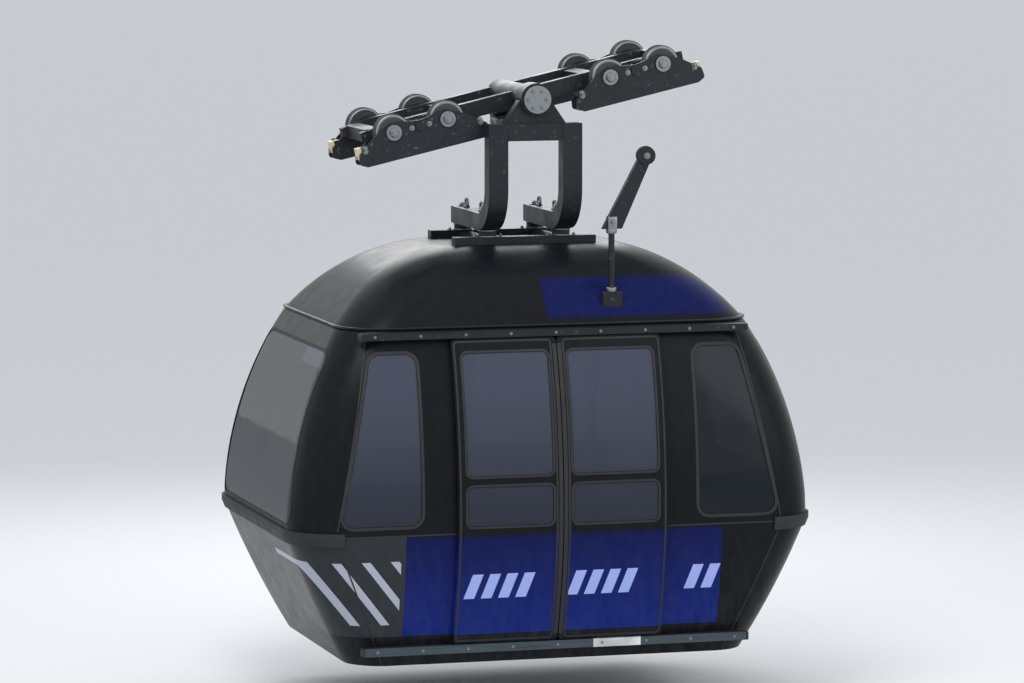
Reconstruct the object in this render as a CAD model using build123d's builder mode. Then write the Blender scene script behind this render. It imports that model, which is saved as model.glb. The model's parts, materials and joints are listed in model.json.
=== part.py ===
from build123d import *
import os
from math import cos, radians, sin, sqrt

# Three-rope gondola vehicle: a carriage on two track ropes, a C-shaped hanger and a cabin.
# Millimetres. The origin is on the haul rope's axis in the middle of the grip, +X runs
# uphill, the doors are on the -Y side and +Z is up. No rope is part of the vehicle.

# Ropes
rope_slope = 13
haul_rope_r = 23
track_rope_r = 25
track_side = 360
track_rise = 30

# Carriage, measured along the rope (u), across (y) and square to it (w)
roller_r = 120
roller_run_r = 98
roller_width = 76
roller_bore_r = 30
axle_fit = 0.05
groove_fit = 2
bogie_place = 750
axle_offset = 185
plate_thick = 12
plate_gap = 10
beam_width = 60
beam_gap = 15
beam_height = 106
beam_half = 1120
cross_member_places = (-1040, -480, 480, 1040)
cross_member_width = 80
bogie_pin_r = 35
cross_tube_r = 85
journal_r = 60
journal_fit = 0.05
collar_gap = 6

# Grip on the haul rope
grip_half = 160
jaw_wall = 32
spring_r = 34
spring_length = 92

# Hanger
hub_r = 105
hub_length = 150
hub_gap = 26
gusset_inset = 40
gusset_thick = 80
gusset_edge = 5
leg_side = 250
leg_width = 130
leg_depth = 110
leg_bend = 220
crossbar_drop = 215
crossbar_height = 110
arm_reach = 360

# Cabin
cabin_drop = 3450
wall = 50
belt = 860
eaves = 2150
roof_rise = 490
roof_top = eaves + roof_rise
roof_skin = 40
floor_top = 230
floor_thick = 40
door_gap = 8
door_thick = 40
doorway_half = 660
door_head = 110
doorway_top = eaves - door_head
leaf_lap = 40
leaf_width = doorway_half + leaf_lap
leaf_bottom = 140
leaf_head = 50
leaf_top = eaves - leaf_head
leaf_split = 3
leaf_travel = 640
tongue = 12
tongue_fit = 0.3
tongue_reach = 28
tongue_length = 120
tongue_inset = 150
rail_gap = 6
rail_height = 44
rail_spare = 40
rail_depth = 66
sill_height = 54
sill_band = 70
head_band = 140
window_sill = belt + sill_band
window_head = eaves - head_band
glass_proud = -4
glass_thick = 8
seat_height = 680
bench_depth = 470
bench_back = 470
rail_tube_r = 17

# Body sections: height over the cabin's foot, half length, half width, corner radius
belt_section = (belt, 1750, 1175, 320)
eaves_section = (eaves, 1380, 965, 300)
lower_sections = [(0, 1340, 980, 250), (belt - 410, 1575, 1110, 300), belt_section]
window_sections = [belt_section, (eaves - 650, 1655, 1135, 320), eaves_section]
roof_sections = [
    eaves_section,
    (roof_top - 290, 1200, 825, 300),
    (roof_top - 110, 945, 630, 280),
    (roof_top, 620, 390, 220),
]

# Blocks that only cut are larger than the cabin
clear_length = 3 * belt_section[1]
clear_width = 4 * belt_section[2]

# Where the side panels end: height and half length
panel_edges = [(0, 1150), (belt, 1500), (eaves, 1240)]

axle_rise = track_rise + track_rope_r + roller_run_r
carriage = Plane.XY.rotated((0, -rope_slope, 0))
pivot = carriage.from_local_coords(Vector(0, 0, axle_rise))
cabin = Plane((pivot.X, 0, -cabin_drop))
os.makedirs("parts", exist_ok=True)


# The plane that stands upright along a frame's length, at a place across it
def lengthwise(frame, across):
    return frame * Plane.XZ.offset(-across)


# The plane that stands upright across a frame, at a place along it
def crosswise(frame, along):
    return frame * Plane.YZ.offset(along)


# A place in a frame
def spot(frame, along, across, up):
    return frame * Location((along, across, up))


standing = (Align.CENTER, Align.CENTER, Align.MIN)
hanging = (Align.CENTER, Align.CENTER, Align.MAX)


# A stretch of the body, grown by a distance and with its upper sections lowered
def body(sections, grow, lower=0):
    foot = sections[0][0]
    with BuildPart() as stretch:
        for height, half_length, half_width, corner in sections:
            level = height if height == foot else height - lower
            with BuildSketch(cabin.offset(level)):
                RectangleRounded(2 * (half_length + grow), 2 * (half_width + grow), corner + grow)
        loft()
    return stretch.part


# The body's half width at a height, on the curve through three of its sections
def half_width_at(height, sections):
    (h0, _, w0, _), (h1, _, w1, _), (h2, _, w2, _) = sections
    first = (w1 - w0) / (h1 - h0)
    second = ((w2 - w1) / (h2 - h1) - first) / (h2 - h0)
    return w0 + first * (height - h0) + second * (height - h0) * (height - h1)


# The upright prism of the side panels, which the end panels leave out
def side_prism():
    with BuildPart() as prism:
        with BuildSketch(lengthwise(cabin, 0)):
            rising = [(edge, height) for height, edge in panel_edges]
            falling = [(-edge, height) for height, edge in reversed(panel_edges)]
            Polygon(*rising, *falling, align=None)
        extrude(amount=clear_width / 2, both=True)
    return prism.part


# A slab across the whole cabin between two heights
def slab(bottom, top):
    with BuildPart(cabin.offset(bottom)) as block:
        Box(clear_length, clear_width, top - bottom, align=standing)
    return block.part


# A block that covers one side of the cabin, from its middle plane outwards
def side_half(side):
    with BuildPart(cabin) as block:
        with Locations((0, side * clear_width / 4, cabin_drop / 2)):
            Box(clear_length, clear_width / 2, 2 * cabin_drop)
    return block.part


lower_outer = body(lower_sections, 0)
lower_inner = body(lower_sections, -wall)
window_outer = body(window_sections, 0)
window_inner = body(window_sections, -wall)
sides = side_prism()


# Upright prisms through the side walls: the doorway and the windows
doorway_corner = 60


def doorway_prism():
    with BuildPart() as prism:
        with BuildSketch(lengthwise(cabin, 0)):
            with Locations((0, (floor_top + doorway_top) / 2)):
                RectangleRounded(2 * doorway_half, doorway_top - floor_top, doorway_corner)
        extrude(amount=clear_width / 2)
    return prism.part


# Window corners, place along and height: the outer window leans in with the corner pillar
side_window = [(930, window_sill), (1460, window_sill), (1225, window_head), (930, window_head)]
far_window = [(45, window_sill), (870, window_sill), (870, window_head), (45, window_head)]
window_corner = 70


def window_prisms(outline, side):
    with BuildPart() as prisms:
        for hand in (1, -1):
            with BuildSketch(lengthwise(cabin, 0)) as pane:
                Polygon(*[(hand * x, z) for x, z in outline], align=None)
                fillet(pane.vertices(), window_corner)
            extrude(amount=-side * clear_width / 2)
    return prisms.part


# The end windows, narrower at the head
end_window = [(-930, window_sill), (930, window_sill), (790, window_head), (-790, window_head)]
end_window_corner = 90


def end_window_prism():
    with BuildPart() as prism:
        with BuildSketch(crosswise(cabin, 0)) as pane:
            Polygon(*end_window, align=None)
            fillet(pane.vertices(), end_window_corner)
        extrude(amount=clear_length / 2, both=True)
    return prism.part


doorway = doorway_prism()
near_panes = window_prisms(side_window, -1)
far_panes = window_prisms(side_window, 1)
far_middle_panes = window_prisms(far_window, 1)
end_panes = end_window_prism()

# Lower wall panels: the near ones stand beside the doorway, with a threshold panel between them
with BuildPart() as door_bay:
    with Locations(spot(cabin, 0, -clear_width / 4, 0)):
        Box(2 * doorway_half, clear_width / 2, belt, align=standing)

with BuildPart() as lower_near:
    add(lower_outer)
    add(lower_inner, mode=Mode.SUBTRACT)
    add(sides, mode=Mode.INTERSECT)
    add(side_half(-1), mode=Mode.INTERSECT)
    add(door_bay.part, mode=Mode.SUBTRACT)
lower_near.part.label = "lower_near"
export_step(lower_near.part, "parts/lower_near.step")

with BuildPart() as threshold:
    add(lower_outer)
    add(lower_inner, mode=Mode.SUBTRACT)
    add(door_bay.part, mode=Mode.INTERSECT)
    add(doorway, mode=Mode.SUBTRACT)
threshold.part.label = "threshold"
export_step(threshold.part, "parts/threshold.step")

with BuildPart() as lower_far:
    add(lower_outer)
    add(lower_inner, mode=Mode.SUBTRACT)
    add(sides, mode=Mode.INTERSECT)
    add(side_half(1), mode=Mode.INTERSECT)
lower_far.part.label = "lower_far"
export_step(lower_far.part, "parts/lower_far.step")

with BuildPart() as lower_ends:
    add(lower_outer)
    add(lower_inner, mode=Mode.SUBTRACT)
    add(sides, mode=Mode.SUBTRACT)
lower_ends.part.label = "lower_ends"
export_step(lower_ends.part, "parts/lower_ends.step")

# Window frames over the belt, each cut out of the same curved wall
with BuildPart() as frame_near:
    add(window_outer)
    add(window_inner, mode=Mode.SUBTRACT)
    add(sides, mode=Mode.INTERSECT)
    add(side_half(-1), mode=Mode.INTERSECT)
    add(doorway, mode=Mode.SUBTRACT)
    add(near_panes, mode=Mode.SUBTRACT)
frame_near.part.label = "frame_near"
export_step(frame_near.part, "parts/frame_near.step")

with BuildPart() as frame_far:
    add(window_outer)
    add(window_inner, mode=Mode.SUBTRACT)
    add(sides, mode=Mode.INTERSECT)
    add(side_half(1), mode=Mode.INTERSECT)
    add(far_panes, mode=Mode.SUBTRACT)
    add(far_middle_panes, mode=Mode.SUBTRACT)
frame_far.part.label = "frame_far"
export_step(frame_far.part, "parts/frame_far.step")

with BuildPart() as frame_ends:
    add(window_outer)
    add(window_inner, mode=Mode.SUBTRACT)
    add(sides, mode=Mode.SUBTRACT)
    add(end_panes, mode=Mode.SUBTRACT)
frame_ends.part.label = "frame_ends"
export_step(frame_ends.part, "parts/frame_ends.step")

# Panes bonded almost flush with the outer face
pane_outer = body(window_sections, glass_proud)
pane_inner = body(window_sections, glass_proud - glass_thick)

with BuildPart() as glass_near:
    add(pane_outer)
    add(pane_inner, mode=Mode.SUBTRACT)
    add(near_panes, mode=Mode.INTERSECT)
glass_near.part.label = "glass_near"
export_step(glass_near.part, "parts/glass_near.step")

with BuildPart() as glass_far:
    add(far_panes)
    add(far_middle_panes)
    add(pane_outer, mode=Mode.INTERSECT)
    add(pane_inner, mode=Mode.SUBTRACT)
glass_far.part.label = "glass_far"
export_step(glass_far.part, "parts/glass_far.step")

with BuildPart() as glass_ends:
    add(pane_outer)
    add(pane_inner, mode=Mode.SUBTRACT)
    add(end_panes, mode=Mode.INTERSECT)
glass_ends.part.label = "glass_ends"
export_step(glass_ends.part, "parts/glass_ends.step")

# Door leaves: they follow the wall outside it, from the sill rail to the head rail
leaf_outer = door_gap + door_thick
door_lower_outer = body(lower_sections, leaf_outer)
door_lower_inner = body(lower_sections, door_gap)
door_window_outer = body(window_sections, leaf_outer)
door_window_inner = body(window_sections, door_gap)
leaf_middle = door_gap + door_thick / 2
top_track = half_width_at(leaf_top, window_sections) + leaf_middle
foot_track = half_width_at(leaf_bottom, lower_sections) + leaf_middle
leaf_rim = 65
leaf_corner = 25
tongue_root = 5
light_bottom = belt + 55
light_top = belt + 305
pane_bottom = belt + 375
leaf_lights = [(light_bottom, light_top), (pane_bottom, window_head)]
pane_width = leaf_width - leaf_split - 2 * leaf_rim


def leaf_panes(hand):
    with BuildPart() as prisms:
        with BuildSketch(lengthwise(cabin, 0)):
            for bottom, top in leaf_lights:
                with Locations((hand * (leaf_split + leaf_width) / 2, (bottom + top) / 2)):
                    RectangleRounded(pane_width, top - bottom, window_corner / 2)
        extrude(amount=clear_width / 2)
    return prisms.part


def leaf_prism(hand):
    with BuildPart() as prism:
        with BuildSketch(lengthwise(cabin, 0)):
            with Locations((hand * (leaf_split + leaf_width) / 2, (leaf_bottom + leaf_top) / 2)):
                RectangleRounded(leaf_width - leaf_split, leaf_top - leaf_bottom, leaf_corner)
        extrude(amount=clear_width / 2)
    return prism.part


for name, hand in (("left", -1), ("right", 1)):
    prism = leaf_prism(hand)
    panes = leaf_panes(hand)
    with BuildPart() as leaf:
        add(door_lower_outer)
        add(door_window_outer)
        add(door_lower_inner, mode=Mode.SUBTRACT)
        add(door_window_inner, mode=Mode.SUBTRACT)
        add(prism, mode=Mode.INTERSECT)
        add(panes, mode=Mode.SUBTRACT)
        for along in (tongue_inset, leaf_width - tongue_inset):
            with Locations(spot(cabin, hand * along, -top_track, leaf_top - tongue_root)):
                Box(tongue_length, tongue, tongue_reach + tongue_root, align=standing)
            with Locations(spot(cabin, hand * along, -foot_track, leaf_bottom + tongue_root)):
                Box(tongue_length, tongue, tongue_reach + tongue_root, align=hanging)
    leaf.part.label = f"door_{name}"
    export_step(leaf.part, f"parts/door_{name}.step")

    with BuildPart() as leaf_glass:
        add(body(window_sections, leaf_outer + glass_proud))
        add(body(window_sections, leaf_outer + glass_proud - glass_thick), mode=Mode.SUBTRACT)
        add(panes, mode=Mode.INTERSECT)
    leaf_glass.part.label = f"door_glass_{name}"
    export_step(leaf_glass.part, f"parts/door_glass_{name}.step")

# Head rail and sill rail of the doors, slotted for the leaves' tongues
rail_half = leaf_width + leaf_travel - tongue_inset + tongue_length / 2 + rail_spare
rail_bottom = leaf_top + rail_gap
sill_top = leaf_bottom - rail_gap
slot_width = tongue + 2 * tongue_fit
slot_depth = tongue_reach + 2
slot_length = 2 * rail_half - 20
with BuildPart() as head_rail:
    with Locations(spot(cabin, 0, -top_track, rail_bottom)):
        Box(2 * rail_half, rail_depth, rail_height, align=standing)
    add(window_outer, mode=Mode.SUBTRACT)
    with Locations(spot(cabin, 0, -top_track, rail_bottom)):
        Box(slot_length, slot_width, slot_depth, align=standing, mode=Mode.SUBTRACT)
head_rail.part.label = "head_rail"
export_step(head_rail.part, "parts/head_rail.step")

with BuildPart() as sill_rail:
    with Locations(spot(cabin, 0, -foot_track, sill_top)):
        Box(2 * rail_half, rail_depth, sill_height, align=hanging)
    add(lower_outer, mode=Mode.SUBTRACT)
    with Locations(spot(cabin, 0, -foot_track, sill_top)):
        Box(slot_length, slot_width, slot_depth, align=hanging, mode=Mode.SUBTRACT)
sill_rail.part.label = "sill_rail"
export_step(sill_rail.part, "parts/sill_rail.step")

# Floor panel, and the ladder frame under it that shows from below
with BuildPart() as floor:
    add(slab(floor_top - floor_thick, floor_top))
    add(lower_inner, mode=Mode.INTERSECT)
floor.part.label = "floor"
export_step(floor.part, "parts/floor.step")

frame_foot = 50
frame_top = floor_top - floor_thick
frame_side = 560
frame_beam_width = 100
rung_places = (-1150, -600, 0, 600, 1150)
rung_width = 80
rung_lift = 30
with BuildPart() as underframe:
    for across in (-frame_side, frame_side):
        with Locations(spot(cabin, 0, across, frame_foot)):
            Box(clear_length, frame_beam_width, frame_top - frame_foot, align=standing)
    for along in rung_places:
        with Locations(spot(cabin, along, 0, frame_foot + rung_lift)):
            Box(rung_width, clear_width, frame_top - frame_foot - rung_lift, align=standing)
    add(lower_inner, mode=Mode.INTERSECT)
underframe.part.label = "underframe"
export_step(underframe.part, "parts/underframe.step")

# Roof shell, open below, and the flat ceiling that closes it
roof_outer = body(roof_sections, 0)
roof_inner = body(roof_sections, -wall, roof_skin)
with BuildPart() as roof_shell:
    add(roof_outer)
    add(roof_inner, mode=Mode.SUBTRACT)
roof_shell.part.label = "roof_shell"
export_step(roof_shell.part, "parts/roof_shell.step")

ceiling_thick = 15
with BuildPart() as ceiling:
    add(slab(eaves, eaves + ceiling_thick))
    add(roof_inner, mode=Mode.INTERSECT)
ceiling.part.label = "ceiling"
export_step(ceiling.part, "parts/ceiling.step")

# Rubber bumpers round both ends at the belt
bumper_low = belt - 50
bumper_high = belt + 35
bumper_proud = 18
bumper_start = 1440
with BuildPart() as bumpers:
    add(body(lower_sections, bumper_proud))
    add(body(window_sections, bumper_proud))
    add(slab(bumper_low, bumper_high), mode=Mode.INTERSECT)
    add(lower_outer, mode=Mode.SUBTRACT)
    add(window_outer, mode=Mode.SUBTRACT)
    with Locations(spot(cabin, 0, 0, belt)):
        Box(2 * bumper_start, clear_width, belt, mode=Mode.SUBTRACT)
bumpers.part.label = "bumpers"
export_step(bumpers.part, "parts/bumpers.step")

# Benches: one moulded seat and back on a box foot, drawn from the wall inwards
bench_thick = 70
bench_toe_inset = 40
bench_toe_rise = 30
bench_fall = 25
bench_cushion = 75
bench_lean = 20
bench_back_foot = 45
foot_depth = 150
foot_shift = 30


def bench_outline(wall_face):
    front = wall_face - bench_depth
    under = seat_height - bench_thick
    with BuildLine() as side:
        Polyline(
            (wall_face, under),
            (front + bench_toe_inset, under),
            (front, under + bench_toe_rise),
            (front, seat_height),
            (wall_face - bench_cushion, seat_height - bench_fall),
            (wall_face - bench_lean, seat_height + bench_back),
            (wall_face + bench_back_foot, seat_height + bench_back),
            (wall_face, under),
        )
    return side.line


def bench_foot(wall_face):
    middle = wall_face - bench_depth / 2 - foot_shift
    with BuildLine() as side:
        Polyline(
            (middle - foot_depth / 2, floor_top),
            (middle + foot_depth / 2, floor_top),
            (middle + foot_depth / 2, seat_height - bench_thick),
            (middle - foot_depth / 2, seat_height - bench_thick),
            (middle - foot_depth / 2, floor_top),
        )
    return side.line


end_wall_face = 1575
side_wall_face = 1062
end_bench_half = 780
side_bench_half = 1000
with BuildPart() as bench_ends:
    with BuildSketch(lengthwise(cabin, 0)):
        add(bench_outline(end_wall_face))
        make_face()
        add(bench_foot(end_wall_face))
        make_face()
    extrude(amount=end_bench_half, both=True)
    mirror(about=Plane.YZ.offset(pivot.X))
bench_ends.part.label = "bench_ends"
export_step(bench_ends.part, "parts/bench_ends.step")

with BuildPart() as bench_far:
    with BuildSketch(crosswise(cabin, 0)):
        add(bench_outline(side_wall_face))
        make_face()
        add(bench_foot(side_wall_face))
        make_face()
    extrude(amount=side_bench_half, both=True)
bench_far.part.label = "bench_far"
export_step(bench_far.part, "parts/bench_far.step")

# Grab poles from the floor to the ceiling, joined by two rails overhead
pole_along = 480
pole_across = 180
rail_level = 1960
with BuildPart(cabin.offset(floor_top)) as grab_rails:
    with GridLocations(2 * pole_along, 2 * pole_across, 2, 2):
        Cylinder(rail_tube_r, eaves - floor_top, align=standing)
    with Locations((0, 0, rail_level - floor_top)):
        with GridLocations(1, 2 * pole_across, 1, 2):
            Cylinder(rail_tube_r, 2 * pole_along, rotation=(0, 90, 0))
grab_rails.part.label = "grab_rails"
export_step(grab_rails.part, "parts/grab_rails.step")

# Roof frame: two rails that follow the roof, with rubber blocks between them and the hanger
rail_side = 300
frame_rail_width = 80
frame_rail_height = 50
frame_rail_half = 480
frame_rung_height = 40
block_r = 58
block_height = 45
arm_foot = roof_top + frame_rail_height + block_height
with BuildPart() as roof_frame:
    for across in (-rail_side, rail_side):
        with Locations(spot(cabin, 0, across, roof_top)):
            Box(2 * frame_rail_half, frame_rail_width, frame_rail_height, align=standing)
    for along in (-leg_side, leg_side):
        with Locations(spot(cabin, along, 0, roof_top)):
            Box(frame_rail_width, 2 * rail_side, frame_rung_height, align=standing)
roof_frame.part.label = "roof_frame"
export_step(roof_frame.part, "parts/roof_frame.step")

with BuildPart(cabin.offset(roof_top + frame_rail_height)) as rubber_mounts:
    with GridLocations(2 * leg_side, 2 * rail_side, 2, 2):
        Cylinder(block_r, block_height, align=standing)
rubber_mounts.part.label = "rubber_mounts"
export_step(rubber_mounts.part, "parts/rubber_mounts.step")

# Hanger: two C-shaped legs outside the near track rope, a crossbar and the pivot's hub
roller_outer = track_side + roller_width / 2
plate_outer = roller_outer + plate_gap + plate_thick
hub_inner = plate_outer + hub_gap
hub_middle = hub_inner + hub_length / 2
hub_outer = hub_inner + hub_length
arm_middle = -cabin_drop + arm_foot + leg_depth / 2
crossbar_top = pivot.Z - crossbar_drop + crossbar_height / 2
with BuildPart() as hanger:
    for along in (-leg_side, leg_side):
        with BuildSketch(Plane.YZ.offset(pivot.X + along)):
            with BuildLine():
                FilletPolyline(
                    (-hub_middle, crossbar_top),
                    (-hub_middle, arm_middle),
                    (arm_reach, arm_middle),
                    radius=leg_bend,
                )
            trace(line_width=leg_depth)
        extrude(amount=leg_width / 2, both=True)
    with Locations((pivot.X, -hub_middle, crossbar_top - crossbar_height / 2)):
        Box(2 * leg_side, leg_depth, crossbar_height)
    with BuildSketch(Plane.XZ.offset(hub_middle)):
        Polygon(
            (pivot.X - leg_side + gusset_inset, crossbar_top),
            (pivot.X + leg_side - gusset_inset, crossbar_top),
            (pivot.X + hub_r - gusset_edge, pivot.Z),
            (pivot.X - hub_r + gusset_edge, pivot.Z),
            align=None,
        )
    extrude(amount=gusset_thick / 2, both=True)
    with Locations(Location((pivot.X, -hub_middle, pivot.Z), (90, 0, 0))):
        Cylinder(hub_r, hub_length)
        Cylinder(journal_r + journal_fit, hub_length, mode=Mode.SUBTRACT)
hanger.part.label = "hanger"
export_step(hanger.part, "parts/hanger.step")

# Door lever: a thin post on the roof's near edge that a rail in the station pushes over
lever_along = 430
lever_across = 850
lever_foot = eaves + 20
lever_boss = lever_foot + 190
lever_bend = lever_boss + 440
lever_top = lever_bend + 440
lever_lean = 230
lever_post_r = 20
lever_width = 130
lever_thick = 40
lever_roller_r = 58
lever_roller_width = 64
lever_foot_length = 140
lever_foot_width = 80
lever_foot_corner = 18
lever_taper = 1.5
lever_lap = 30
lever_seat_gap = 0.6
with BuildPart() as door_lever:
    with BuildSketch(cabin.offset(lever_foot)):
        with Locations((lever_along, -lever_across)):
            RectangleRounded(lever_foot_length, lever_foot_width, lever_foot_corner)
    extrude(amount=lever_boss - lever_foot)
    add(body(roof_sections, lever_seat_gap), mode=Mode.SUBTRACT)
    with Locations(spot(cabin, lever_along, -lever_across, lever_boss)):
        Cylinder(lever_post_r, lever_bend - lever_boss, align=standing)
    with BuildSketch(lengthwise(cabin, -lever_across)):
        Polygon(
            (lever_along - lever_width / 2, lever_bend - lever_lap),
            (lever_along + lever_width / 2, lever_bend - lever_lap),
            (lever_along + lever_lean + lever_width / 2 / lever_taper, lever_top),
            (lever_along + lever_lean - lever_width / 2 / lever_taper, lever_top),
            align=None,
        )
    extrude(amount=lever_thick / 2, both=True)
    with Locations(spot(cabin, lever_along + lever_lean, -lever_across, lever_top)):
        Cylinder(lever_roller_r, lever_roller_width, rotation=(90, 0, 0))
door_lever.part.label = "door_lever"
export_step(door_lever.part, "parts/door_lever.step")

# Carriage frame: two long beams inboard of the rollers, cross members and the pivot's journal
plate_inner = track_side - roller_width / 2 - plate_gap - plate_thick
beam_outer = plate_inner - beam_gap
beam_middle = beam_outer - beam_width / 2
beam_low = axle_rise - beam_height / 2
beam_high = axle_rise + beam_height / 2
beam_toe = 120
beam_toe_rise = 30
beam_nose = 200
beam_nose_fall = 20
cross_member_height = 86
bogie_pin_end = 10
stub_r = 85
with BuildPart(carriage) as carriage_frame:
    for side in (-1, 1):
        with BuildSketch(lengthwise(carriage, side * beam_middle)):
            Polygon(
                (-beam_half, beam_low + beam_toe_rise),
                (-beam_half + beam_toe, beam_low),
                (beam_half - beam_toe, beam_low),
                (beam_half, beam_low + beam_toe_rise),
                (beam_half, beam_high - beam_nose_fall),
                (beam_half - beam_nose, beam_high),
                (-beam_half + beam_nose, beam_high),
                (-beam_half, beam_high - beam_nose_fall),
                align=None,
            )
        extrude(amount=beam_width / 2, both=True)
        for along in (-bogie_place, bogie_place):
            with Locations((along, side * (plate_outer + bogie_pin_end + beam_middle) / 2, axle_rise)):
                Cylinder(bogie_pin_r, plate_outer + bogie_pin_end - beam_middle, rotation=(90, 0, 0))
    for along in cross_member_places:
        with Locations((along, 0, axle_rise)):
            Box(cross_member_width, 2 * beam_middle, cross_member_height)
    with Locations((0, 0, axle_rise)):
        Cylinder(cross_tube_r, 2 * beam_outer, rotation=(90, 0, 0))
    with Locations((0, -(hub_inner - collar_gap + beam_middle) / 2, axle_rise)):
        Cylinder(stub_r, hub_inner - collar_gap - beam_middle, rotation=(90, 0, 0))
    with Locations((0, -(hub_outer + collar_gap + beam_middle) / 2, axle_rise)):
        Cylinder(journal_r, hub_outer + collar_gap - beam_middle, rotation=(90, 0, 0))
carriage_frame.part.label = "carriage_frame"
export_step(carriage_frame.part, "parts/carriage_frame.step")

cap_thick = 22
cap_r = 90
with BuildPart(carriage) as pivot_cap:
    with Locations((0, -(hub_outer + collar_gap + cap_thick / 2), axle_rise)):
        Cylinder(cap_r, cap_thick, rotation=(90, 0, 0))
pivot_cap.part.label = "pivot_cap"
export_step(pivot_cap.part, "parts/pivot_cap.step")

# Bogies: four pairs of side plates with the rollers' axles and a spacer at each end
# Half the plate's outline: distance from its middle and height over the ropes' plane
plate_outline = [(400, -25), (450, 0), (440, 65), (310, 160), (185, 218), (0, 192)]
axle_end = 8
plate_corner = 22
spacer_place = 395
spacer_rise = 88
spacer_length = 40
spacer_height = 36
with BuildPart(carriage) as bogies:
    for side in (-1, 1):
        for centre in (-bogie_place, bogie_place):
            for face in (plate_inner, plate_outer - plate_thick):
                with BuildSketch(lengthwise(carriage, side * (face + plate_thick / 2))) as plate:
                    half = [(centre + x, z) for x, z in plate_outline]
                    other = [(centre - x, z) for x, z in reversed(plate_outline[:-1])]
                    Polygon(*half, *other, align=None)
                    fillet(plate.vertices(), plate_corner)
                    with Locations((centre, axle_rise)):
                        Circle(bogie_pin_r, mode=Mode.SUBTRACT)
                extrude(amount=plate_thick / 2, both=True)
            for offset_along in (-axle_offset, axle_offset):
                with Locations((centre + offset_along, side * track_side, axle_rise)):
                    Cylinder(roller_bore_r, plate_outer - plate_inner + 2 * axle_end, rotation=(90, 0, 0))
            for offset_along in (-spacer_place, spacer_place):
                with Locations((centre + offset_along, side * track_side, spacer_rise)):
                    Box(spacer_length, plate_outer - plate_inner - 2 * plate_thick, spacer_height)
bogies.part.label = "bogies"
export_step(bogies.part, "parts/bogies.step")

# Grooved rollers, turned as one profile about their axles
edge_break = 8
roller_face = roller_width / 2
roller_bore = roller_bore_r + axle_fit
groove_r = track_rope_r + groove_fit
groove_centre = roller_run_r + groove_r
groove_half = sqrt(groove_r**2 - (groove_centre - roller_r) ** 2)
bogie_centres = (-bogie_place, bogie_place)
axle_offsets = (-axle_offset, axle_offset)
roller_places = [centre + offset for centre in bogie_centres for offset in axle_offsets]
for side, side_name in ((-1, "near"), (1, "far")):
    for number, place in enumerate(roller_places, 1):
        with BuildPart() as roller:
            with BuildSketch(Plane.XY):
                with BuildLine():
                    Polyline(
                        (roller_r, -groove_half),
                        (roller_r, -roller_face + edge_break),
                        (roller_r - edge_break, -roller_face),
                        (roller_bore, -roller_face),
                        (roller_bore, roller_face),
                        (roller_r - edge_break, roller_face),
                        (roller_r, roller_face - edge_break),
                        (roller_r, groove_half),
                    )
                    ThreePointArc((roller_r, groove_half), (roller_run_r, 0), (roller_r, -groove_half))
                make_face()
            revolve(axis=Axis.Y)
        roller.part.label = f"roller_{side_name}_{number}"
        roller.part.locate(spot(carriage, place, side * track_side, axle_rise))
        export_step(roller.part, f"parts/roller_{side_name}_{number}.step")

# Grip: a fixed jaw under the cross tube and a moving jaw hung beside it that closes from below
jaw_r = haul_rope_r + jaw_wall
saddle_width = 240
saddle_thick = 40
saddle_top = axle_rise - cross_tube_r + saddle_thick
with BuildPart(carriage) as grip_body:
    with BuildSketch(crosswise(carriage, 0)):
        with Locations((0, saddle_top / 2)):
            Rectangle(2 * jaw_r, saddle_top)
        with Locations((0, saddle_top - saddle_thick / 2)):
            Rectangle(saddle_width, saddle_thick)
        Circle(haul_rope_r, mode=Mode.SUBTRACT)
    extrude(amount=grip_half, both=True)
    with Locations((0, 0, axle_rise)):
        Cylinder(cross_tube_r, 2 * saddle_width, rotation=(90, 0, 0), mode=Mode.SUBTRACT)
grip_body.part.label = "grip_body"
export_step(grip_body.part, "parts/grip_body.step")

jaw_pin_r = 16
jaw_pin_side = 80
jaw_pin_rise = 22
jaw_ear = 26
jaw_ear_top = jaw_pin_rise + 24
jaw_ear_foot = jaw_pin_rise - 20
jaw_neck = 0.6 * jaw_r
jaw_parting = haul_rope_r / 2
with BuildPart(carriage) as grip_jaw:
    with BuildSketch(crosswise(carriage, 0)):
        Circle(jaw_r)
        with Locations((0, jaw_r - jaw_parting)):
            Rectangle(2 * jaw_r, 2 * jaw_r, mode=Mode.SUBTRACT)
        Polygon(
            (-jaw_r - tongue_fit, jaw_ear_top),
            (-jaw_pin_side - jaw_ear, jaw_ear_top),
            (-jaw_pin_side - jaw_ear, jaw_ear_foot),
            (-jaw_neck, -jaw_r),
            (-jaw_neck, -jaw_neck),
            (-jaw_r - tongue_fit, 0),
            align=None,
        )
        with Locations((-jaw_pin_side, jaw_pin_rise)):
            Circle(jaw_pin_r, mode=Mode.SUBTRACT)
        Circle(haul_rope_r, mode=Mode.SUBTRACT)
    extrude(amount=grip_half, both=True)
grip_jaw.part.label = "grip_jaw"
export_step(grip_jaw.part, "parts/grip_jaw.step")

# Spring packs on the fixed jaw's far side
spring_rise = 30
spring_place = 80
spring_rod_r = 20
spring_rod_end = 12
with BuildPart(carriage) as grip_springs:
    for along in (-spring_place, spring_place):
        with Locations((along, jaw_r + spring_length / 2, spring_rise)):
            Cylinder(spring_r, spring_length, rotation=(90, 0, 0))
        with Locations((along, jaw_r + (spring_length + spring_rod_end) / 2, spring_rise)):
            Cylinder(spring_rod_r, spring_length + spring_rod_end, rotation=(90, 0, 0))
grip_springs.part.label = "grip_springs"
export_step(grip_springs.part, "parts/grip_springs.step")

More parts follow.
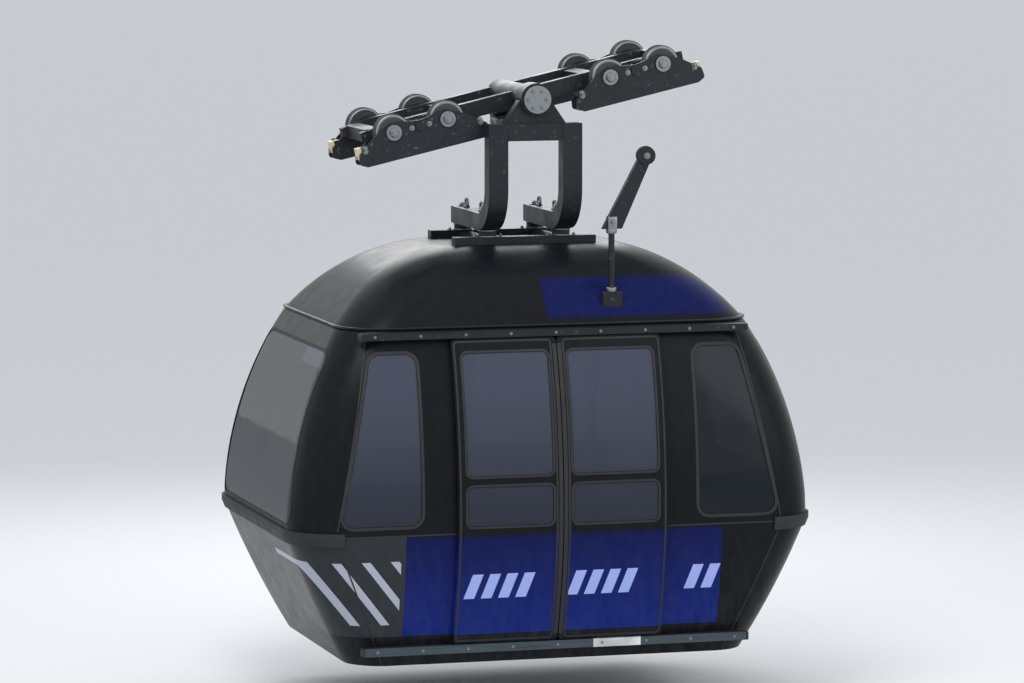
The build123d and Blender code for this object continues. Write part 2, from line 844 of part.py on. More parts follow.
# Grip lever: the jaw's pin, two arms and the roller that the station's rail presses
arm_place = grip_half + 22
arm_thick = 22
arm_foot_half = 22
arm_tip_half = 16
arm_tip = 200
press_rod_r = 12
press_rod_side = 188
press_roller_r = 34
press_roller_width = 60
lever_pin_half = grip_half + 40
with BuildPart(carriage) as grip_lever:
    with Locations((0, -jaw_pin_side, jaw_pin_rise)):
        Cylinder(jaw_pin_r, 2 * lever_pin_half, rotation=(0, 90, 0))
    for along in (-arm_place, arm_place):
        with BuildSketch(crosswise(carriage, along)):
            Polygon(
                (-jaw_pin_side + arm_foot_half, jaw_pin_rise - arm_foot_half),
                (-jaw_pin_side + arm_foot_half, jaw_pin_rise + arm_foot_half),
                (-arm_tip, jaw_pin_rise + arm_tip_half),
                (-arm_tip, jaw_pin_rise - arm_tip_half),
                align=None,
            )
        extrude(amount=arm_thick / 2, both=True)
    with Locations((0, -press_rod_side, jaw_pin_rise)):
        Cylinder(press_rod_r, 2 * arm_place + arm_thick, rotation=(0, 90, 0))
        Cylinder(press_roller_r, press_roller_width, rotation=(0, 90, 0))
grip_lever.part.label = "grip_lever"
export_step(grip_lever.part, "parts/grip_lever.step")

# Scrapers that keep ice off the track ropes, one at each outer end of the bogies
scraper_length = 30
scraper_width = 70
scraper_height = 76
scraper_gap = 3
scraper_place = bogie_place + spacer_place + spacer_length / 2 + scraper_length / 2
with BuildPart(carriage) as rope_scrapers:
    for end in (-1, 1):
        for side in (-1, 1):
            with BuildSketch(crosswise(carriage, end * scraper_place)):
                with Locations((side * track_side, track_rise + scraper_height / 2)):
                    Rectangle(scraper_width, scraper_height)
                with Locations((side * track_side, track_rise)):
                    Circle(track_rope_r + scraper_gap, mode=Mode.SUBTRACT)
            extrude(amount=scraper_length / 2, both=True)
rope_scrapers.part.label = "rope_scrapers"
export_step(rope_scrapers.part, "parts/rope_scrapers.step")
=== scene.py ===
import json
import math
import bpy
from mathutils import Matrix, Vector


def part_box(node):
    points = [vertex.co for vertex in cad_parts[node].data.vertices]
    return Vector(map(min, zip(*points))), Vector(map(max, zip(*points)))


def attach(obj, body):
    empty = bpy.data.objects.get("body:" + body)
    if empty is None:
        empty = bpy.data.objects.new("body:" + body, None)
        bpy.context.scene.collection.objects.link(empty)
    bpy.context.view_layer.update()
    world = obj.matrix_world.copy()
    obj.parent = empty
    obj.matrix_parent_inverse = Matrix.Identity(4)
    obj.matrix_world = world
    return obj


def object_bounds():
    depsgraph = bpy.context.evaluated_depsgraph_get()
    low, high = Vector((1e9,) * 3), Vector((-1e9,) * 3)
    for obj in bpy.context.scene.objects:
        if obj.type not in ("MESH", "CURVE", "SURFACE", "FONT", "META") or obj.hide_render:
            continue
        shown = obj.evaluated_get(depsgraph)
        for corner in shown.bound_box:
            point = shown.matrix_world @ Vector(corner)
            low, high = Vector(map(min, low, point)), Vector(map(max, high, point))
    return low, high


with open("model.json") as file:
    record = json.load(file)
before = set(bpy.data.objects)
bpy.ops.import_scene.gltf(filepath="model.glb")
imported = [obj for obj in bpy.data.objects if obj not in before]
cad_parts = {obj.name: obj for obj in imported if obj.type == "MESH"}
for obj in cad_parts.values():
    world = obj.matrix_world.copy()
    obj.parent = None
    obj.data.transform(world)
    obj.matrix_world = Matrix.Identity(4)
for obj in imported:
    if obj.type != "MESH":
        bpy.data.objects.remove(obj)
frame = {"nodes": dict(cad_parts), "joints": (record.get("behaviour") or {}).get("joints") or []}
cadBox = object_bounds()
bpy.ops.object.select_all(action="DESELECT")

joints = {joint["name"]: joint for joint in frame["joints"]}
pivot = Vector(joints["hanger_swing"]["pos_m"])
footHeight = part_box("lower_far")[0].z
beltHeight = 0.860  # where the wall has its edge


def heightOver(z):
    return footHeight + z  # heights on the cabin are given over its foot


# Node helpers for the finishes

def newFinish(name):
    finish = bpy.data.materials.new(name)
    finish.use_nodes = True
    tree = finish.node_tree
    return finish, tree, tree.nodes["Principled BSDF"]


def feed(tree, socket, value):
    if isinstance(value, bpy.types.NodeSocket):
        tree.links.new(value, socket)
    else:
        socket.default_value = value


def calc(tree, operation, first, second=0.0):
    node = tree.nodes.new("ShaderNodeMath")
    node.operation = operation
    feed(tree, node.inputs[0], first)
    feed(tree, node.inputs[1], second)
    return node.outputs[0]


def objectPlaces(tree):
    return tree.nodes.new("ShaderNodeTexCoord").outputs["Object"]


def cabinPlaces(tree, places):
    # the way along from the pivot, the way across, and the height over the cabin's foot
    split = tree.nodes.new("ShaderNodeSeparateXYZ")
    tree.links.new(places, split.inputs[0])
    along = calc(tree, "SUBTRACT", split.outputs[0], pivot.x)
    height = calc(tree, "SUBTRACT", split.outputs[2], footHeight)
    return along, split.outputs[1], height


def both(tree, first, second):
    return calc(tree, "MULTIPLY", first, second)


def between(tree, value, low, high):
    return both(tree, calc(tree, "GREATER_THAN", value, low), calc(tree, "LESS_THAN", value, high))


def either(tree, first, second):
    return calc(tree, "MAXIMUM", first, second)


def mixColours(tree, share, under, over):
    node = tree.nodes.new("ShaderNodeMix")
    node.data_type = "RGBA"
    feed(tree, node.inputs[0], share)
    for index, colour in ((6, under), (7, over)):
        feed(tree, node.inputs[index], colour if isinstance(colour, bpy.types.NodeSocket) else (*colour, 1))
    return node.outputs[2]


def noise(tree, places, scale, detail, stretch=(1, 1, 1)):
    mapping = tree.nodes.new("ShaderNodeMapping")
    mapping.inputs["Scale"].default_value = stretch
    tree.links.new(places, mapping.inputs[0])
    node = tree.nodes.new("ShaderNodeTexNoise")
    node.inputs["Scale"].default_value = scale
    node.inputs["Detail"].default_value = detail
    tree.links.new(mapping.outputs[0], node.inputs["Vector"])
    return node.outputs["Fac"]


noiseSpan = (0.3, 0.7)  # where most of a noise's values lie


def remap(tree, value, before, after):
    node = tree.nodes.new("ShaderNodeMapRange")
    feed(tree, node.inputs[0], value)
    for index, number in enumerate((*before, *after), 1):
        node.inputs[index].default_value = number
    return node.outputs[0]


def bump(tree, shader, height, strength, depth):
    node = tree.nodes.new("ShaderNodeBump")
    node.inputs["Strength"].default_value = strength
    node.inputs["Distance"].default_value = depth
    tree.links.new(height, node.inputs["Height"])
    tree.links.new(node.outputs[0], shader.inputs["Normal"])


def srgb(*colour):
    # from the usual 0 to 255 to the linear values that the nodes take
    return tuple((v / 255 / 12.92) if v <= 10 else ((v / 255 + 0.055) / 1.055) ** 2.4 for v in colour)


def scaled(colour, share):
    return tuple(min(1, v * share) for v in colour)


def spread(middle, low, high):
    return middle + low, middle + high


# What a user may change about the paint; fields are given along from the pivot and in height over the foot
livery = {
    "black": srgb(15, 18, 23),
    "charcoal": srgb(46, 49, 54),
    "blue": srgb(8, 34, 116),
    "deepBlue": srgb(6, 17, 70),
    "pale": srgb(158, 172, 232),
    "silver": srgb(168, 174, 186),
    "dust": srgb(120, 118, 112),
    "nearSide": -0.30, "nearRoof": -0.66,
    "blueAlong": (-1.03, 1.09), "blueHeights": (0.20, 0.85),
    "roofAlong": (-0.02, 1.22), "roofHeights": (2.21, 2.45),
    "charcoalHeights": (0.20, 0.86),
    "stripeAlong": (-1.70, -1.06), "stripeHeights": (0.28, 0.70),
    "stripeFall": 0.8, "stripePitch": 0.19, "stripeShare": 0.3,
    "barHeights": (0.44, 0.60), "barLean": 0.35, "barPitch": 0.115, "barShare": 0.62,
    # the last bar group, right of the doors, is a painted reflection; the others stand for lettering
    "letteringAndReflectionGroups": ((-0.81, -0.38), (-0.12, 0.31), (0.68, 0.89)),
    "dustHeights": (0.9, 0.0), "dustShares": (0.02, 0.10), "dustScale": 24.0, "dustSpan": (0.3, 0.8),
    "roughness": (0.27, 0.35), "roughScale": 9.0, "shine": 0.10,
    "peelScale": 160.0, "peelStrength": 0.06, "peelDepth": 0.0008,
}


def cabinPaint():
    finish, tree, shader = newFinish("cabinPaint")
    places = objectPlaces(tree)
    along, side, height = cabinPlaces(tree, places)
    nearSide = calc(tree, "LESS_THAN", side, livery["nearSide"])
    nearRoof = calc(tree, "LESS_THAN", side, livery["nearRoof"])

    def field(name):
        column = between(tree, along, *livery[name + "Along"])
        return both(tree, column, between(tree, height, *livery[name + "Heights"]))

    # Plain slanted pale bars: on the leaves they stand for lettering, and the group right of the doors is a
    # painted reflection
    slant = calc(tree, "ADD", along, calc(tree, "MULTIPLY", height, -livery["barLean"]))
    beat = calc(tree, "FRACT", calc(tree, "DIVIDE", slant, livery["barPitch"]))
    groups = 0.0
    for group in livery["letteringAndReflectionGroups"]:
        groups = either(tree, groups, between(tree, slant, *group))
    bars = both(tree, calc(tree, "LESS_THAN", beat, livery["barShare"]), groups)
    bars = both(tree, bars, between(tree, height, *livery["barHeights"]))
    # Silver stripes that fall to the right, on the charcoal panel left of the blue field
    fall = calc(tree, "ADD", along, calc(tree, "MULTIPLY", height, livery["stripeFall"]))
    beat = calc(tree, "FRACT", calc(tree, "DIVIDE", fall, livery["stripePitch"]))
    stripes = both(tree, calc(tree, "LESS_THAN", beat, livery["stripeShare"]), field("stripe"))
    leftOfBlue = calc(tree, "LESS_THAN", along, livery["blueAlong"][0])
    panel = both(tree, between(tree, height, *livery["charcoalHeights"]), leftOfBlue)
    colour = mixColours(tree, both(tree, panel, nearSide), livery["black"], livery["charcoal"])
    colour = mixColours(tree, both(tree, stripes, nearSide), colour, livery["silver"])
    # The blue field on the doors and beside them darkens upwards
    shade = remap(tree, height, livery["blueHeights"], (0, 1))
    blue = mixColours(tree, shade, livery["blue"], livery["deepBlue"])
    colour = mixColours(tree, both(tree, field("blue"), nearSide), colour, blue)
    colour = mixColours(tree, both(tree, field("roof"), nearRoof), colour, livery["deepBlue"])
    # The pale bars: lettering on the leaves, and a painted reflection right of the doors
    colour = mixColours(tree, both(tree, bars, nearSide), colour, livery["pale"])
    # Road film and dust gather low down, fine orange peel all over
    dust = noise(tree, places, livery["dustScale"], 6.0, (1, 1, 0.3))
    dust = remap(tree, dust, livery["dustSpan"], (0, 1))
    film = both(tree, remap(tree, height, livery["dustHeights"], livery["dustShares"]), dust)
    tree.links.new(mixColours(tree, film, colour, livery["dust"]), shader.inputs["Base Color"])
    rough = remap(tree, noise(tree, places, livery["roughScale"], 4.0), noiseSpan, livery["roughness"])
    tree.links.new(rough, shader.inputs["Roughness"])
    shader.inputs["Specular IOR Level"].default_value = livery["shine"]
    peel = noise(tree, places, livery["peelScale"], 2.0)
    bump(tree, shader, peel, livery["peelStrength"], livery["peelDepth"])
    return finish


# Brushed rail with a fine tread, and a painted glint of near-white metal along one stretch
sillLook = {
    "dark": srgb(52, 60, 66), "light": srgb(86, 96, 102), "brushScale": 60.0, "treads": 28.0,
    "paintedGlint": srgb(226, 229, 232), "glintAlong": (0.24, 0.56),
    "glintScale": 5.0, "glintSpan": (0.35, 0.6), "glintShares": (0.6, 1.0),
    "roughness": (0.28, 0.5), "metallic": 0.85, "bump": 0.15, "depth": 0.001,
}


def sillAluminium():
    finish, tree, shader = newFinish("sillAluminium")
    places = objectPlaces(tree)
    along = cabinPlaces(tree, places)[0]
    treads = calc(tree, "FRACT", calc(tree, "MULTIPLY", along, sillLook["treads"]))
    brush = noise(tree, places, sillLook["brushScale"], 6.0, (0.05, 1, 1))
    # Painted glint: one stretch of the rail is mixed in patches towards near-white metal
    glintNoise = noise(tree, places, sillLook["glintScale"], 3.0)
    glintNoise = remap(tree, glintNoise, sillLook["glintSpan"], sillLook["glintShares"])
    glint = both(tree, glintNoise, between(tree, along, *sillLook["glintAlong"]))
    base = mixColours(tree, brush, sillLook["dark"], sillLook["light"])
    tree.links.new(mixColours(tree, glint, base, sillLook["paintedGlint"]), shader.inputs["Base Color"])
    tree.links.new(remap(tree, brush, noiseSpan, sillLook["roughness"]), shader.inputs["Roughness"])
    shader.inputs["Metallic"].default_value = sillLook["metallic"]
    bump(tree, shader, treads, sillLook["bump"], sillLook["depth"])
    return finish


# A painted reflection of the sky makes the door panes and the window left of them paler, most of all high up
glassLook = {
    "dark": srgb(20, 25, 30), "light": srgb(38, 44, 51), "paintedSkyReflection": srgb(74, 79, 96),
    "reflectionAlong": (-1.50, 0.70), "reflectionSide": -0.3, "reflectionHeights": (0.9, 1.75), "reflectionShares": (0.30, 0.9),
    "smearScale": 2.2, "smearSpan": (0.3, 0.8), "roughness": (0.03, 0.12), "alpha": 0.72, "shine": 0.20,
}


def tintedGlass():
    finish, tree, shader = newFinish("tintedGlass")
    places = objectPlaces(tree)
    smear = noise(tree, places, glassLook["smearScale"], 5.0, (1, 1, 2.5))
    along, side, height = cabinPlaces(tree, places)
    nearSide = calc(tree, "LESS_THAN", side, glassLook["reflectionSide"])
    # Painted reflection: the near panes are mixed towards a pale sky colour, more so higher up
    reflectingPanes = both(tree, between(tree, along, *glassLook["reflectionAlong"]), nearSide)
    paintedSkyReflection = both(tree, reflectingPanes, remap(tree, height, glassLook["reflectionHeights"], glassLook["reflectionShares"]))
    base = mixColours(tree, smear, glassLook["dark"], glassLook["light"])
    tree.links.new(mixColours(tree, paintedSkyReflection, base, glassLook["paintedSkyReflection"]), shader.inputs["Base Color"])
    rough = remap(tree, smear, glassLook["smearSpan"], glassLook["roughness"])
    tree.links.new(rough, shader.inputs["Roughness"])
    shader.inputs["Alpha"].default_value = glassLook["alpha"]
    shader.inputs["Specular IOR Level"].default_value = glassLook["shine"]
    return finish


# Painted steel, with patches and a few chips
satinLook = {
    "patchScale": 6.0, "patchLift": 1.5,
    "chip": srgb(150, 148, 142), "chipScale": 34.0, "chipEdge": (0.62, 0.72),
    "spread": (-0.08, 0.12), "shine": 0.25, "grainScale": 60.0, "bump": 0.12, "depth": 0.001,
}


def satinPaint(name, colour, roughness, wear=0.12):
    finish, tree, shader = newFinish(name)
    places = objectPlaces(tree)
    patches = noise(tree, places, satinLook["patchScale"], 6.0)
    chips = remap(tree, noise(tree, places, satinLook["chipScale"], 8.0), satinLook["chipEdge"], (0, wear))
    base = mixColours(tree, patches, colour, scaled(colour, satinLook["patchLift"]))
    tree.links.new(mixColours(tree, chips, base, satinLook["chip"]), shader.inputs["Base Color"])
    rough = remap(tree, patches, noiseSpan, spread(roughness, *satinLook["spread"]))
    tree.links.new(rough, shader.inputs["Roughness"])
    shader.inputs["Specular IOR Level"].default_value = satinLook["shine"]
    grain = noise(tree, places, satinLook["grainScale"], 4.0)
    bump(tree, shader, grain, satinLook["bump"], satinLook["depth"])
    return finish


# Plated, cast and polished steel
metalLook = {"shade": 0.7, "spread": (-0.08, 0.14), "metallic": 0.95, "bump": 0.08, "depth": 0.0006}


def bareMetal(name, colour, roughness, scale, stretch=(1, 1, 1)):
    finish, tree, shader = newFinish(name)
    grain = noise(tree, objectPlaces(tree), scale, 6.0, stretch)
    base = mixColours(tree, grain, scaled(colour, metalLook["shade"]), colour)
    tree.links.new(base, shader.inputs["Base Color"])
    rough = remap(tree, grain, noiseSpan, spread(roughness, *metalLook["spread"]))
    tree.links.new(rough, shader.inputs["Roughness"])
    shader.inputs["Metallic"].default_value = metalLook["metallic"]
    bump(tree, shader, grain, metalLook["bump"], metalLook["depth"])
    return finish


# Rubber, lining and moulded plastic
plasticLook = {"shades": (0.8, 1.25), "scuffScale": 8.0, "spread": (-0.08, 0.08), "bump": 0.25}


def softPlastic(name, colour, roughness, scale=300.0, depth=0.0006):
    finish, tree, shader = newFinish(name)
    places = objectPlaces(tree)
    grain = noise(tree, places, scale, 2.0)
    scuffs = noise(tree, places, plasticLook["scuffScale"], 6.0)
    base = mixColours(tree, scuffs, *(scaled(colour, shade) for shade in plasticLook["shades"]))
    tree.links.new(base, shader.inputs["Base Color"])
    rough = remap(tree, scuffs, noiseSpan, spread(roughness, *plasticLook["spread"]))
    tree.links.new(rough, shader.inputs["Roughness"])
    bump(tree, shader, grain, plasticLook["bump"], depth)
    return finish


allFinishes = (
    cabinPaint(),
    tintedGlass(),
    satinPaint("chassisPaint", srgb(52, 54, 58), 0.5),
    satinPaint("hangerPaint", srgb(22, 25, 29), 0.42),
    satinPaint("carriagePaint", srgb(24, 27, 31), 0.45, 0.22),
    sillAluminium(),
    bareMetal("poleSteel", srgb(190, 190, 188), 0.28, 40.0, (1, 1, 0.05)),
    bareMetal("zincSteel", srgb(140, 144, 148), 0.42, 70.0),
    bareMetal("castSteel", srgb(84, 84, 84), 0.5, 55.0),
    softPlastic("floorRubber", srgb(52, 53, 55), 0.75, 60.0, 0.002),
    softPlastic("liningPanel", srgb(176, 178, 180), 0.55),
    softPlastic("benchShell", srgb(60, 62, 66), 0.5),
    softPlastic("blackRubber", srgb(26, 26, 27), 0.7),
    softPlastic("rollerLining", srgb(44, 44, 46), 0.55),
    softPlastic("scraperPlastic", srgb(200, 188, 150), 0.5),
)
finishes = {finish.name: finish for finish in allFinishes}

# Which nodes wear each finish; the rollers' nodes all wear the lining
wearers = {
    "cabinPaint": ("lower_near", "threshold", "lower_far", "lower_ends", "frame_near", "frame_far",
                   "frame_ends", "roof_shell", "door_left", "door_right"),
    "tintedGlass": ("glass_near", "glass_far", "glass_ends", "door_glass_left", "door_glass_right"),
    "chassisPaint": ("underframe",),
    "hangerPaint": ("head_rail", "roof_frame", "hanger", "door_lever"),
    "carriagePaint": ("carriage_frame", "bogies"),
    "sillAluminium": ("sill_rail",),
    "poleSteel": ("grab_rails",),
    "zincSteel": ("pivot_cap", "grip_springs", "grip_lever"),
    "castSteel": ("grip_body", "grip_jaw"),
    "floorRubber": ("floor",),
    "liningPanel": ("ceiling",),
    "benchShell": ("bench_ends", "bench_far"),
    "blackRubber": ("bumpers", "rubber_mounts"),
    "scraperPlastic": ("rope_scrapers",),
}
nodeFinishes = {nodeName: finish for finish, nodeNames in wearers.items() for nodeName in nodeNames}


def finishOf(nodeName):
    return finishes["rollerLining" if nodeName.startswith("roller_") else nodeFinishes[nodeName]]


for nodeName, node in frame["nodes"].items():
    node.data.materials.clear()
    node.data.materials.append(finishOf(nodeName))
print("finishes on", len(frame["nodes"]), "nodes")


# Shaping helpers for the added pieces

def quiet():
    if bpy.context.object and bpy.context.object.mode != "OBJECT":
        bpy.ops.object.mode_set(mode="OBJECT")
    bpy.ops.object.select_all(action="DESELECT")


def only(piece):
    quiet()
    piece.select_set(True)
    bpy.context.view_layer.objects.active = piece
    return piece


def settle(piece):
    only(piece)
    bpy.ops.object.transform_apply(location=True, rotation=True, scale=True)
    return piece


def applyAll(piece):
    only(piece)
    for modifier in list(piece.modifiers):
        bpy.ops.object.modifier_apply(modifier=modifier.name)
    return piece


def outwards(piece):
    only(piece)
    bpy.ops.object.mode_set(mode="EDIT")
    bpy.ops.mesh.select_all(action="SELECT")
    bpy.ops.mesh.remove_doubles(threshold=0.00002)
    bpy.ops.mesh.normals_make_consistent(inside=False)
    bpy.ops.object.mode_set(mode="OBJECT")
    return piece


rubberAngle = 50  # strips on the walls are smoothed over wider bends than hard pieces


def smooth(piece, angle=35):
    only(piece)
    bpy.ops.object.shade_smooth_by_angle(angle=math.radians(angle))
    return piece


def dress(piece, name, finish, body):
    piece.name = name
    piece.data.materials.clear()
    piece.data.materials.append(finishes[finish])
    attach(piece, body)
    return piece


def joined(pieces):
    quiet()
    for piece in pieces:
        piece.select_set(True)
    bpy.context.view_layer.objects.active = pieces[0]
    if len(pieces) > 1:
        bpy.ops.object.join()
    return pieces[0]


def copiesAt(seed, places, name):
    copies = []
    for place in places:
        copy = seed.copy()
        copy.data = seed.data.copy()
        copy.data.transform(place)
        bpy.context.collection.objects.link(copy)
        copies.append(copy)
    bpy.data.objects.remove(seed)
    whole = joined(copies)
    whole.name = name
    return whole


def facing(point, direction):
    # a place whose +Z points the way that a bolt's head does
    return Matrix.Translation(point) @ Vector(direction).to_track_quat("Z", "Y").to_matrix().to_4x4()


# The carriage's slope, read from its own joints, and its axles' places along it
lowAxle, highAxle = (Vector(joints[name]["pos_m"]) for name in ("roller_near_1_spin", "roller_near_4_spin"))
uphill = (highAxle - lowAxle).normalized()
square = Vector((-uphill.z, 0, uphill.x))
across = Vector((0, 1, 0))
axleRise = (pivot - Vector((0, pivot.y, 0))).length
bogieCentres = (-0.750, 0.750)
axleOffsets = (-0.185, 0.185)


def onCarriage(along, side, rise):
    return uphill * along + across * side + square * rise


def onCabin(x, y, height):
    return Matrix.Translation((pivot.x + x, y, heightOver(height)))


# A bolt's parts: sides, and shares of its radius and its height
boltShape = {
    "washer": (20, 1.6, 0.0, 0.3),
    "head": (6, 1.0, 0.3, 1.1),
    "stud": (12, 0.5, 1.025, 1.375),
    "softening": 0.12,
}


def makeBolt(radius, length):
    # a washer, a hexagon head with softened corners and the stud's end
    def drum(sides, share, low, high):
        bpy.ops.mesh.primitive_cylinder_add(vertices=sides, radius=radius * share,
                                            depth=length * (high - low),
                                            location=(0, 0, length * (low + high) / 2))
        return bpy.context.object

    quiet()
    washer = drum(*boltShape["washer"])
    head = drum(*boltShape["head"])
    bpy.ops.object.mode_set(mode="EDIT")
    bpy.ops.mesh.select_all(action="SELECT")
    bpy.ops.mesh.bevel(offset=radius * boltShape["softening"], segments=1)
    bpy.ops.object.mode_set(mode="OBJECT")
    stud = drum(*boltShape["stud"])
    return joined([settle(piece) for piece in (washer, head, stud)])


def boltSet(name, places, body):
    piece = copiesAt(makeBolt(*boltSizes[name]), places, name)
    return dress(smooth(piece), name, "zincSteel", body)


def pick(piece, kind, chosen):
    # selects the vertices, edges or faces that pass a test, then goes into edit mode
    only(piece)
    bpy.ops.object.mode_set(mode="EDIT")
    bpy.ops.mesh.select_mode(type=kind)
    bpy.ops.mesh.select_all(action="DESELECT")
    bpy.ops.object.mode_set(mode="OBJECT")
    parts = {"VERT": piece.data.vertices, "EDGE": piece.data.edges, "FACE": piece.data.polygons}[kind]
    for part in parts:
        part.select = chosen(part)
    bpy.ops.object.mode_set(mode="EDIT")


def atPoint(point):
    return lambda vertex: (vertex.co - point).length < 0.001


def outlineFace(corners, rounding):
    # a flat face between four corners, each rounded by the same radius
    quiet()
    bpy.ops.mesh.primitive_plane_add(size=1.0)
    face = bpy.context.object
    starts = [vertex.co.copy() for vertex in face.data.vertices]
    for start, corner in zip([starts[0], starts[1], starts[3], starts[2]], corners):
        pick(face, "VERT", atPoint(start))
        bpy.ops.transform.translate(value=corner - start)
        bpy.ops.object.mode_set(mode="OBJECT")
    for index, corner in enumerate(corners):
        before, after = corners[index - 1] - corner, corners[(index + 1) % 4] - corner
        pick(face, "VERT", atPoint(corner))
        bpy.ops.mesh.bevel(offset=rounding / math.tan(before.angle(after) / 2), segments=5, affect="VERTICES")
        bpy.ops.object.mode_set(mode="OBJECT")
    return face


wrapSizes = {"longest": 0.14, "cuts": 19, "reach": 0.05}


def bendAtBelt(piece):
    # a strip that crosses the belt, where the wall has its edge, gets a row of points right on it
    belt = heightOver(beltHeight)
    offsets = [vertex.co.z - belt for vertex in piece.data.vertices]
    if min(offsets) < -wrapSizes["longest"] and max(offsets) > wrapSizes["longest"]:
        for vertex, offset in zip(piece.data.vertices, offsets):
            if abs(offset) < wrapSizes["reach"]:
                vertex.co.z = belt


def wrapOn(piece, target, direction, thick):
    # follows a curved wall: long edges are split, laid on the wall and given a thickness
    def isLong(edge):
        start, end = (piece.data.vertices[index].co for index in edge.vertices)
        return (start - end).length > wrapSizes["longest"]

    pick(piece, "EDGE", isLong)
    bpy.ops.mesh.subdivide(number_cuts=wrapSizes["cuts"])
    bpy.ops.object.mode_set(mode="OBJECT")
    bendAtBelt(piece)
    wrap = piece.modifiers.new("wrap", "SHRINKWRAP")
    wrap.target = frame["nodes"][target]
    wrap.wrap_method = "PROJECT"
    wrap.use_project_x, wrap.use_project_y, wrap.use_project_z = (part != 0 for part in direction)
    wrap.use_positive_direction = sum(direction) > 0
    wrap.use_negative_direction = sum(direction) < 0
    applyAll(piece)
    outwards(piece)
    shell = piece.modifiers.new("thick", "SOLIDIFY")
    shell.thickness = thick
    shell.offset = 0.0
    applyAll(piece)
    return outwards(piece)


def rimOn(target, corners, rounding, width, thick, direction):
    rim = outlineFace(corners, rounding)
    only(rim)
    bpy.ops.object.mode_set(mode="EDIT")
    bpy.ops.mesh.select_mode(type="FACE")
    bpy.ops.mesh.select_all(action="SELECT")
    bpy.ops.mesh.inset(thickness=width, use_even_offset=True)
    bpy.ops.mesh.delete(type="FACE")
    bpy.ops.object.mode_set(mode="OBJECT")
    return wrapOn(rim, target, direction, thick)


def grown(outline, by):
    # a window's outline in its own plane, moved outwards on all sides
    middle = sum(outline, Vector((0, 0))) / len(outline)
    corners = []
    for index, corner in enumerate(outline):
        before = (corner - outline[index - 1]).normalized()
        after = (outline[(index + 1) % 4] - corner).normalized()
        sides = [Vector((edge.y, -edge.x)) for edge in (before, after)]
        sides = [side if side.dot(corner - middle) > 0 else -side for side in sides]
        corners.append(corner + (sides[0] + sides[1]) * by / (1 + sides[0].dot(sides[1])))
    return corners


def onSide(points, y):
    return [Vector((pivot.x + point.x, y, heightOver(point.y))) for point in points]


def onEnd(points, x):
    return [Vector((pivot.x + x, point.x, heightOver(point.y))) for point in points]


def seen(points, hand):
    return [Vector((hand * x, z)) for x, z in points]


# Rubber gaskets round the panes; each window has its corners as along and height
gasketSizes = {
    "thick": 0.005,
    "wall": {"over": 0.022, "width": 0.020},
    "door": {"over": 0.016, "width": 0.014},
}
windows = {
    "side": [(0.93, 0.93), (1.46, 0.93), (1.225, 2.01), (0.93, 2.01)],
    "far": [(0.045, 0.93), (0.87, 0.93), (0.87, 2.01), (0.045, 2.01)],
    "end": [(-0.93, 0.93), (0.93, 0.93), (0.79, 2.01), (-0.79, 2.01)],
    "leafLow": [(0.068, 0.915), (0.635, 0.915), (0.635, 1.165), (0.068, 1.165)],
    "leafHigh": [(0.068, 1.235), (0.635, 1.235), (0.635, 2.01), (0.068, 2.01)],
}
windowCorners = {"side": 0.07, "far": 0.07, "end": 0.09, "leafLow": 0.035, "leafHigh": 0.035}
outOfSide, outOfEnd = 1.9, 2.4  # clear of the walls, where an outline starts before it is laid on


def gasketOn(target, window, hand, side, sizes):
    # side is -1 for the door side, 1 for the far side and 0 for an end
    outline = grown(seen(windows[window], hand if side else 1), sizes["over"])
    points = onSide(outline, side * outOfSide) if side else onEnd(outline, hand * outOfEnd)
    inwards = (0, -side, 0) if side else (-hand, 0, 0)
    rounding = windowCorners[window] + sizes["over"]
    return rimOn(target, points, rounding, sizes["width"], gasketSizes["thick"], inwards)


def keptIn(piece):
    # a piece on a leaf gets no wider than the CAD model where the leaf bulges most
    for vertex in piece.data.vertices:
        vertex.co.y = max(vertex.co.y, cadBox[0].y)
    return piece


def makeGaskets():
    walls = (("frame_near", "side", -1), ("frame_far", "side", 1), ("frame_far", "far", 1),
             ("frame_ends", "end", 0))
    rims = [gasketOn(target, window, hand, side, gasketSizes["wall"])
            for hand in (1, -1) for target, window, side in walls]
    dress(smooth(joined(rims), rubberAngle), "windowGaskets", "blackRubber", "cabin")
    for side, hand in (("left", -1), ("right", 1)):
        leaf = "door_" + side
        rims = [gasketOn(leaf, window, hand, -1, gasketSizes["door"]) for window in ("leafLow", "leafHigh")]
        gaskets = smooth(keptIn(joined(rims)), rubberAngle)
        dress(gaskets, "doorGaskets_" + side, "blackRubber", leaf)


makeGaskets()
print("gaskets done")

# Finger guards on the leaves' meeting edges and a seal round each leaf
leafSizes = {
    "foot": 0.152, "head": 2.088,
    "guardInset": 0.0035, "guardWidth": 0.026, "guardThick": 0.007, "guardEnd": 0.030, "guardCorner": 0.004,
    "sealInner": 0.036, "sealOuter": 0.690, "sealWidth": 0.012, "sealThick": 0.005, "sealCorner": 0.03,
}


def upright(left, right, low, high, hand):
    return onSide(seen([(left, low), (right, low), (right, high), (left, high)], hand), -outOfSide)


def makeLeafSeals():
    foot, head = leafSizes["foot"], leafSizes["head"]
    inner = leafSizes["guardInset"]
    outer = inner + leafSizes["guardWidth"]
    low, high = foot + leafSizes["guardEnd"], head - leafSizes["guardEnd"]
    inwards = (0, 1, 0)
    for side, hand in (("left", -1), ("right", 1)):
        leaf = "door_" + side
        guard = outlineFace(upright(inner, outer, low, high, hand), leafSizes["guardCorner"])
        strip = wrapOn(guard, leaf, inwards, leafSizes["guardThick"])
        edge = upright(leafSizes["sealInner"], leafSizes["sealOuter"], foot, head, hand)
        seal = rimOn(leaf, edge, leafSizes["sealCorner"], leafSizes["sealWidth"],
                     leafSizes["sealThick"], inwards)
        seals = smooth(keptIn(joined([strip, seal])), rubberAngle)
        dress(seals, "leafSeals_" + side, "blackRubber", leaf)


